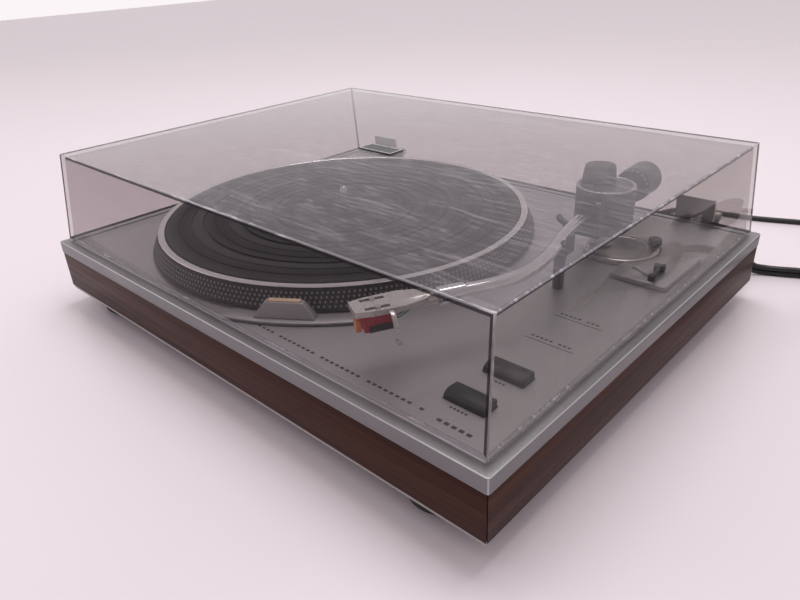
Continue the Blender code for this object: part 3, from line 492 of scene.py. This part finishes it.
# ---- leads -------------------------------------------------------------------------------------------
MAINS_ROUTE = [(0.1000, 0.1980, -0.0280), (0.1000, 0.2020, -0.0280), (0.0990, 0.2130, -0.0315),
               (0.0960, 0.2320, -0.0430), (0.0910, 0.2560, -0.0520), (0.0870, 0.2800, -0.0535),
               (0.0870, 0.3050, -0.0535), (0.0960, 0.3280, -0.0535), (0.1160, 0.3420, -0.0535),
               (0.1420, 0.3470, -0.0535), (0.1690, 0.3520, -0.0535), (0.2060, 0.3660, -0.0535),
               (0.2300, 0.3750, -0.0535), (0.2500, 0.3783, -0.0535)]
AUDIO_ROUTE = [(0.1980, 0.1985, -0.0280), (0.1980, 0.2035, -0.0280), (0.2010, 0.2150, -0.0385),
               (0.2070, 0.2220, -0.0490), (0.2160, 0.2280, -0.0516), (0.2280, 0.2330, -0.0516),
               (0.2405, 0.2390, -0.0516), (0.2560, 0.2435, -0.0516), (0.2740, 0.2450, -0.0516),
               (0.2940, 0.2450, -0.0516)]
MAINS_COIL = (0.2705, 0.3480)
AUDIO_COIL = (0.3250, 0.1910)
MAINS_THICK = 0.0050
CORE_THICK = 0.0044
COIL_STEP = 10
PATH_STEP = 0.0035


def winding(centre, stops):
    """Clockwise turns about centre; stops are (turns so far, radius, height), joined evenly."""
    points = []
    for (t0, r0, z0), (t1, r1, z1) in zip(stops, stops[1:]):
        count = max(1, round((t1 - t0) * 360 / COIL_STEP))
        for k in range(count):
            share = k / count
            ease = share * share * (3 - 2 * share)
            angle = math.radians(90 - 360 * (t0 + (t1 - t0) * share))
            radius = r0 + (r1 - r0) * ease
            points.append((centre[0] + radius * math.cos(angle), centre[1] + radius * math.sin(angle),
                           z0 + (z1 - z0) * ease))
    return points


def mains_stops():
    """Four layers of two turns, each layer wound the other way in from the one below."""
    outer, inner, pitch, low = 0.0304, 0.0251, 0.0053, FLOOR + 0.0026
    stops = [(0.0, outer, low)]
    for layer in range(4):
        z = low + layer * pitch
        first, second = (outer, inner) if layer % 2 == 0 else (inner, outer)
        start = layer * 2
        stops.append((start + 0.85, first, z))
        stops.append((start + 1.05, second, z))
        stops.append((start + 1.85, second, z))
        if layer < 3:
            stops.append((start + 2.05, second, z + pitch))
    stops.append((8.0, outer, low + 3 * pitch))
    return stops


def audio_stops():
    """Two layers, the lower one wound inwards and the upper one outwards."""
    low = FLOOR + 0.0046
    high = low + 0.0090
    return [(0.0, 0.0540, low), (1.50, 0.0458, low), (1.72, 0.0458, high), (3.25, 0.0540, high)]


def make_leads():
    x, y = MAINS_COIL
    tail = [(x + 0.012, y + 0.0304, FLOOR + 0.0175), (x + 0.035, y + 0.0303, FLOOR + 0.0115),
            (x + 0.058, y + 0.0300, FLOOR + 0.0070), (x + 0.0715, y + 0.0300, FLOOR + 0.0065)]
    path = smooth_path(MAINS_ROUTE + winding(MAINS_COIL, mains_stops()) + tail, PATH_STEP)
    lead = show("mains_lead_look", to_mesh(tube(path, circle(MAINS_THICK / 2, 12)), "mains_lead_look"),
                "cord_black", "base", ("mains_lead", "mains_coil"))
    plug = dress("mains_plug", "black_plastic", 0.0015, 3)
    lead_length = length_of(path)

    x, y = AUDIO_COIL
    tail = [(x + 0.0540, y - 0.012, FLOOR + 0.0125), (x + 0.0540, y - 0.030, FLOOR + 0.0070),
            (x + 0.0540, y - 0.050, FLOOR + 0.0048), (x + 0.0540, y - 0.0610, FLOOR + 0.0047)]
    path = smooth_path(AUDIO_ROUTE + winding(AUDIO_COIL, audio_stops()) + tail, PATH_STEP)
    half = CORE_THICK / 2
    bm = tube(path, circle(half, 10, (0, half)))
    tube(path, circle(half, 10, (0, -half)), bm)
    twin = show("audio_lead_look", to_mesh(bm, "audio_lead_look"), "cord_black", "base",
                ("audio_lead", "audio_coil"))
    plugs = [dress("phono_plug_white", "white_plastic"), dress("phono_plug_red", "red_plastic")]
    print("lead lengths", round(lead_length, 4), round(length_of(path), 4))
    dress("mains_strain_relief", "cord_black")
    dress("audio_strain_relief", "cord_black")


# ---- case --------------------------------------------------------------------------------------------
HEAD_RISE = 0.0008
COVER_LOW = -0.0425
BOARD_BACK = 0.1788


def screw_heads(name, places, radius, outwards):
    """Round heads on the base at (x, y, z) places, standing outwards."""
    aim = Vector(outwards).to_track_quat("Z", "Y").to_matrix().to_4x4()
    bm = bmesh.new()
    for place in places:
        start = len(bm.verts)
        bmesh.ops.create_cone(bm, cap_ends=True, segments=16, radius1=radius, radius2=radius * 0.8,
                              depth=HEAD_RISE)
        moved(bm, Matrix.Translation(place) @ aim, start)
    show(name, to_mesh(bm, name), "chrome", "base", ())


def make_case():
    for grain, sides in (("walnut_x", ("front", "rear")), ("walnut_y", ("left", "right"))):
        for side in sides:
            dress(f"board_{side}", grain, 0.0004)
    # The trim's bevels take a lighter silver, a painted highlight line.
    dress("trim_frame", "trim_x", 0.0005, 3, edge_paint="trim_highlight_edge")
    dress("bottom_cover", "steel", 0.0003)
    for corner in ("front_left", "front_right", "rear_left", "rear_right"):
        dress(f"foot_{corner}", "rubber")
    dress("deck_plate", "deck_silver")
    dress("chassis_board", "black_plastic")
    dress("motor_stator", "steel", 0.0005)
    dress("transformer", "steel", 0.0005)
    dress("circuit_board", "board_green")
    face = COVER_LOW - 0.0003
    heads = [(x, y, face) for x in (-0.2050, -0.0700, 0.0700, 0.2050) for y in (-0.1600, 0.1600)]
    screw_heads("cover_screws", heads, 0.0032, (0, 0, -1))
    heads = [(side * 0.1705 + x, BOARD_BACK, -0.0220) for side in (-1, 1) for x in (-0.0100, 0.0100)]
    screw_heads("hinge_screws", heads, 0.0030, (0, 1, 0))
    # Dark rubber strips on the bottom cover stand in for the shade inside its vent slots.
    bm = bmesh.new()
    for k in range(12):
        x = -0.055 + k * 0.010
        box(x - 0.0018, x + 0.0018, 0.0900, 0.1200, face, COVER_LOW + 0.0004, bm)
    show("cover_vent_shade", to_mesh(bm, "cover_vent_shade"), "rubber", "base", ())
    bm = box(-0.0650, 0.0050, 0.17465, 0.17495, -0.0360, -0.0150)
    show("rear_label", to_mesh(bm, "rear_label"), "bright_silver", "base", ())


# ---- platter -----------------------------------------------------------------------------------------
def mat_profile():
    """Top of the mat from the rim inwards: wide flat bands between narrow grooves, and three deeper ones."""
    top, low, slope = 0.0170, 0.0128, 0.0003
    points = [(0.1440, low), (0.1440, top - 0.0012), (0.1432, top - 0.0003), (0.1415, top)]
    for band in range(10):
        wide, deep = (0.0030, 0.0016) if band % 3 == 2 else (0.0014, 0.0006)
        edge = 0.1335 - band * 0.0092
        points += [(edge + slope, top), (edge, top - deep), (edge - wide + slope, top - deep),
                   (edge - wide, top)]
    points += [(0.0440, top), (0.0430, top - 0.0008), (0.0060, top - 0.0008), (0.0042, top - 0.0012),
               (0.0042, low)]
    return points


def make_drive():
    outside = [(0.1440, 0.0125), (0.1446, 0.0162), (0.1450, 0.0165), (0.1490, 0.0165), (0.1496, 0.0160)]
    skirt = [(0.1496, 0.0160), (0.1554, 0.0030), (0.1556, 0.0026)]
    inside = [(0.1523, 0.0025), (0.1458, 0.0090), (0.0140, 0.0090), (0.0120, 0.0040), (0.0039, 0.0040),
              (0.0039, 0.0125), (0.1440, 0.0125)]
    show("platter_look", to_mesh(turned(outside, 192, PLATTER), "platter_look"), "ring_silver",
         "platter_unit", ("platter",))
    show("platter_skirt", to_mesh(turned(skirt, 192, PLATTER), "platter_skirt"), "skirt",
         "platter_unit", ())
    show("platter_under", to_mesh(turned([skirt[-1]] + inside, 96, PLATTER), "platter_under"), "steel",
         "platter_unit", ())
    show("mat_look", to_mesh(turned(mat_profile(), 144, PLATTER, closed=True), "mat_look", 30), "mat",
         "platter_unit", ("platter_mat",))
    dress("spindle", "silver")


# ---- deck furniture ----------------------------------------------------------------------------------
DECK_TOP = -0.00079
INK_TOP = -0.00074
DASH_SHARE = 0.62
DASH_CYCLE, DASH_GAP = 9, 5


def make_controls():
    dress("start_stop_key", "key_plastic", 0.0003)
    dress("speed_key", "key_plastic", 0.0003)
    dress("strobe_panel", "deck_silver", 0.0003)
    dress("strobe_housing", "deck_silver", 0.0004)
    dress("strobe_window", "amber", 0.0001)
    bm = bmesh.new()
    rows = [(0.1735, -0.1445, 5, 0.0024, 0.0014), (0.1755, -0.1120, 4, 0.0024, 0.0014),
            (0.1665, -0.0262, 9, 0.0030, 0.0016), (0.1665, -0.0590, 9, 0.0030, 0.0016),
            (0.0240, -0.1549, 34, 0.0042, 0.0018), (0.1750, -0.1562, 6, 0.0046, 0.0022)]
    for x, y, count, pitch, height in rows:
        for k in range(count):
            if k % DASH_CYCLE != DASH_GAP:
                left, half = x + k * pitch, height / 2
                box(left, left + DASH_SHARE * pitch, y - half, y + half, DECK_TOP, INK_TOP, bm)
    for y in (-0.0300, -0.0628):
        box(0.1640, 0.1960, y - 0.0003, y + 0.0003, DECK_TOP, INK_TOP, bm)
    # A thin dark arc along the strobe panel's front edge is painted shadow under its lip, drawn in the print
    # paint with the legends.
    middle, reach = Vector((*PLATTER, -0.0002)), Vector((0.1706, 0, 0))
    arc = [middle + Matrix.Rotation(math.radians(a), 3, "Z") @ reach for a in range(-69, -37)]
    tube(arc, [(-0.0003, -0.0003), (0.0003, -0.0003), (0.0003, 0.0001), (-0.0003, 0.0001)], bm)
    show("deck_legends_and_shadow_line", to_mesh(bm, "deck_legends_and_shadow_line"), "print", "base", ())


PIVOT = (0.136, 0.081)
ARM_Z = 0.0335
HEAD = Matrix.Translation((0.1110, -0.1496, ARM_Z)) @ Matrix.Rotation(math.radians(-27.5), 4, "Z")
ARM = Matrix.Translation((*PIVOT, ARM_Z)) @ Matrix.Rotation(math.radians(3.0), 4, "Z")


def show_at(place, name, bm, paint, body):
    """Add a detail of the look that stands for no CAD node, drawn about a place of its own."""
    mesh = to_mesh(bm, name)
    mesh.transform(place)
    return show(name, mesh, paint, body, ())


def make_head_details():
    """Mounting screws, the cartridge's dark lower half, the finger lift's tip and the four wires."""
    bm = bmesh.new()
    for x in (-0.0052, 0.0052):
        turned([(0, 0.0047), (0.0016, 0.0047), (0.0018, 0.0044), (0.0018, 0.0036), (0, 0.0036)], 16,
               (x, 0.0130), bm=bm)
    show_at(HEAD, "head_screws", bm, "chrome", "arm")
    bm = box(-0.0063, 0.0063, 0.0075, 0.0224, -0.0107, -0.0066)
    soften(bm, 0.0004)
    show_at(HEAD, "cartridge_lower", bm, "black_plastic", "arm")
    bm = box(0.0180, 0.0224, 0.0177, 0.0205, -0.0117, -0.0104)
    soften(bm, 0.0003)
    show_at(HEAD, "finger_tip", bm, "bright_silver", "arm")
    bm = bmesh.new()
    for k in range(4):
        x = -0.0039 + 0.0026 * k
        path = smooth_path([(x, 0.0216, -0.0050), (x, 0.0250, -0.0058), (x * 0.8, 0.0300, -0.0040),
                            (x * 0.6, 0.0345, -0.0012), (x * 0.6, 0.0370, 0.0004)], 0.0012)
        start = len(bm.faces)
        tube(path, circle(0.00038, 6), bm)
        bm.faces.ensure_lookup_table()
        for face in bm.faces[start:]:
            face.material_index = k
    piece = show_at(HEAD, "head_wires", bm, "white_plastic", "arm")
    for paint in ("red_plastic", "wire_blue", "wire_green"):
        piece.data.materials.append(PAINTS[paint])


def make_arm_marks():
    """Tick marks round the pivot cap and on the tracking force ring."""
    bm = bmesh.new()
    for k in range(24):
        start = len(bm.verts)
        box(0.0150, 0.0176 if k % 2 else 0.0186, -0.00025, 0.00025, 0.0146, 0.01463, bm)
        moved(bm, Matrix.Rotation(math.radians(15 * k), 4, "Z"), start)
    show_at(ARM, "cap_marks", bm, "print", "arm_yoke")
    bm = bmesh.new()
    for k in range(20):
        start = len(bm.verts)
        box(-0.0002, 0.0002, 0.0458, 0.0478 if k % 5 else 0.0492, 0.01255, 0.01264, bm)
        moved(bm, Matrix.Rotation(math.radians(18 * k), 4, "Y"), start)
    show_at(ARM, "force_marks", bm, "white_plastic", "weight")


def make_arm():
    dress("arm_base", "silver", 0.0002)
    dress("arm_pillar", "chrome")
    dress("cue_platform", "deck_silver", 0.0003)
    dress("cue_lever", "black_plastic", 0.0002)
    dress("cue_lift", "black_plastic")
    dress("arm_lock_knob", "black_plastic")
    dress("arm_rest", "black_plastic", 0.0003)
    dress("arm_housing", "grey_plastic", 0.0004)
    dress("pivot_cap", "cap_grey", 0.0004, 3, edge_paint="bright_silver")
    dress("side_force_knob", "knob_plastic", 0.0004, 3)
    dress("pivot_block", "chrome", 0.0003)
    dress("headshell", "bright_silver")
    dress("locking_collar", "chrome")
    dress("cartridge", "red_plastic", 0.0004)
    dress("stylus_guard", "orange", 0.0002)
    dress("finger_lift", "bright_silver", 0.0001)
    dress("arm_tube", "chrome", sharp=60)
    dress("tail_shaft", "chrome")
    dress("counterweight", "grey_plastic")
    dress("force_ring", "black_plastic", 0.0003)
    make_head_details()
    make_arm_marks()


# ---- lid ---------------------------------------------------------------------------------------------
LID_LOW, LID_HIGH, LID_THICK = 0.0017, 0.0722, 0.0030
LID_FOOT = (0.2146, 0.1687)
LID_HEAD = (0.2103, 0.1597)
# The lid's paints: painted sheen on the top, painted light on the right face, a painted highlight on the near
# edges, painted shade on the far edges and inner corners.
LID_PAINTS = ("smoked_acrylic", "acrylic_top_painted_sheen", "acrylic_highlight_edge", "acrylic_corner_shade", "acrylic_far_shade_edge",
              "acrylic_right_lit")
SIDES, SHEEN_TOP, HIGHLIGHT_EDGE, SHADE_CORNER, SHADE_FAR_EDGE, LIT_RIGHT = range(len(LID_PAINTS))


def lid_shell(shrink, low, high):
    """Corners of the lid's outside, or of its inside when shrunk, from low to high."""
    rings = []
    for z in (low, high):
        share = (z - LID_LOW) / (LID_HIGH - LID_LOW)
        hx, hy = (a + (b - a) * share - shrink for a, b in zip(LID_FOOT, LID_HEAD))
        rings.append([(-hx, -hy, z), (hx, -hy, z), (hx, hy, z), (-hx, hy, z)])
    return rings


def make_lid():
    bm = bmesh.new()
    outside = [[bm.verts.new(c) for c in ring] for ring in lid_shell(0, LID_LOW, LID_HIGH)]
    inside = [[bm.verts.new(c) for c in ring] for ring in lid_shell(LID_THICK, LID_LOW, LID_HIGH - LID_THICK)]
    # The top face takes the milkier acrylic, a painted reflection of the ceiling, and the right face a
    # lighter copy, painted light.
    for shell in (outside, inside):
        bm.faces.new(shell[1]).material_index = SHEEN_TOP
        for i in range(4):
            j = (i + 1) % 4
            side = bm.faces.new((shell[0][i], shell[0][j], shell[1][j], shell[1][i]))
            side.material_index = LIT_RIGHT if i == 1 else SIDES
    for i in range(4):
        j = (i + 1) % 4
        bm.faces.new((outside[0][i], outside[0][j], inside[0][j], inside[0][i]))

    def near(edge):
        """Whether an edge lies along the front or the right, or stands at the corner between them."""
        one, two = (v.co for v in edge.verts)
        front = one.y < 0 and two.y < 0
        right = one.x > 0 and two.x > 0
        return (front and right) if abs(one.z - two.z) > 0.01 else (front or right)

    def corners(convex, close):
        return [e for e in bm.edges if e.calc_length() > 0.05 and e.calc_face_angle(0) > 0.9
                and e.is_convex == convex and near(e) == close]

    bmesh.ops.recalc_face_normals(bm, faces=bm.faces)
    # The inner corners and the far outer edges get dark painted shade, the outer edges along the front and
    # right a milky painted highlight.
    bevel(bm, corners(False, True), 0.0015, 3, SHADE_CORNER)
    bevel(bm, corners(True, False), 0.0016, 3, SHADE_FAR_EDGE)
    bevel(bm, corners(True, True), 0.0009, 3, HIGHLIGHT_EDGE)
    lid = show("lid_look", to_mesh(bm, "lid_look", 60), LID_PAINTS[SIDES], "lid_unit", ("lid",))
    for name in LID_PAINTS[SHEEN_TOP:]:
        lid.data.materials.append(PAINTS[name])
    low, high = LID_HIGH + 0.0003, LID_HIGH + 0.0012
    bm = box(-0.0190, 0.0140, -0.01475, -0.00025, low, high - 0.0002)
    soften(bm, 0.0002)
    show("badge_look", to_mesh(bm, "badge_look"), "print", "lid_unit", ("badge",))
    bm = bmesh.new()
    for x0, x1, y0, y1 in ((-0.0182, 0.0132, -0.0140, -0.0134), (-0.0182, 0.0132, -0.0016, -0.0010),
                           (-0.0182, -0.0176, -0.0134, -0.0016), (0.0126, 0.0132, -0.0134, -0.0016)):
        box(x0, x1, y0, y1, high - 0.0002, high, bm)
    show("badge_border", to_mesh(bm, "badge_border"), "bright_silver", "lid_unit", ())
    for side in ("left", "right"):
        dress(f"hinge_leaf_{side}", "hinge_grey", 0.0009, 3, edge_paint="bright_silver")
        dress(f"hinge_bracket_{side}", "steel", 0.0004)
        dress(f"hinge_pin_{side}", "chrome")


# ---- surroundings ------------------------------------------------------------------------------------
FLOOR_HALF = 4
SKY_COLOUR = (1.0, 0.94, 0.96, 1.0)
SKY_DIM_SIDE = (0.60, -0.65, 0.0)
SKY_FADE = {"From Min": -0.3, "From Max": 0.8, "To Min": 0.97, "To Max": 0.46}


def area_light(name, place, size, power):
    """A soft light aimed at the middle of the object's place on the floor."""
    lamp = bpy.data.lights.new(name, "AREA")
    lamp.shape = "RECTANGLE"
    lamp.size, lamp.size_y = size
    lamp.energy = power
    made = bpy.data.objects.new(name, lamp)
    bpy.context.scene.collection.objects.link(made)
    made.location = place
    made.rotation_euler = (-made.location).to_track_quat("-Z", "Y").to_euler()


def make_surroundings():
    """A pale floor, a pale sky that dims towards the front right, and two soft lights."""
    pale = Paint("pale_floor", roughness=0.34)
    pale.colour(pale.mix(pale.noise(3.0), (0.660, 0.588, 0.626), (0.690, 0.618, 0.656)))
    mesh = bpy.data.meshes.new("floor")
    mesh.from_pydata([(x * FLOOR_HALF, y * FLOOR_HALF, 0) for x, y in ((-1, -1), (1, -1), (1, 1), (-1, 1))],
                     [], [(0, 1, 2, 3)])
    mesh.materials.append(pale.material)
    floor = bpy.data.objects.new("floor", mesh)
    bpy.context.scene.collection.objects.link(floor)
    world = bpy.data.worlds.new("room")
    world.use_nodes = True
    sky = world.node_tree.nodes["Background"]
    sky.inputs["Color"].default_value = SKY_COLOUR
    nodes, links = world.node_tree.nodes, world.node_tree.links
    toward = nodes.new("ShaderNodeVectorMath")
    toward.operation = "DOT_PRODUCT"
    links.new(nodes.new("ShaderNodeTexCoord").outputs["Generated"], toward.inputs[0])
    toward.inputs[1].default_value = SKY_DIM_SIDE
    dim = nodes.new("ShaderNodeMapRange")
    for name, value in SKY_FADE.items():
        dim.inputs[name].default_value = value
    links.new(toward.outputs["Value"], dim.inputs["Value"])
    links.new(dim.outputs["Result"], sky.inputs["Strength"])
    bpy.context.scene.world = world
    area_light("ceiling", (-0.05, 0.20, 1.45), (0.9, 0.5), 12.8)
    area_light("window", (-1.5, -0.5, 0.9), (0.9, 1.1), 2.0)


PAINTS = make_paints()
make_camera()
make_leads()
make_case()
make_drive()
make_controls()
make_arm()
make_lid()
make_surroundings()
note_size()
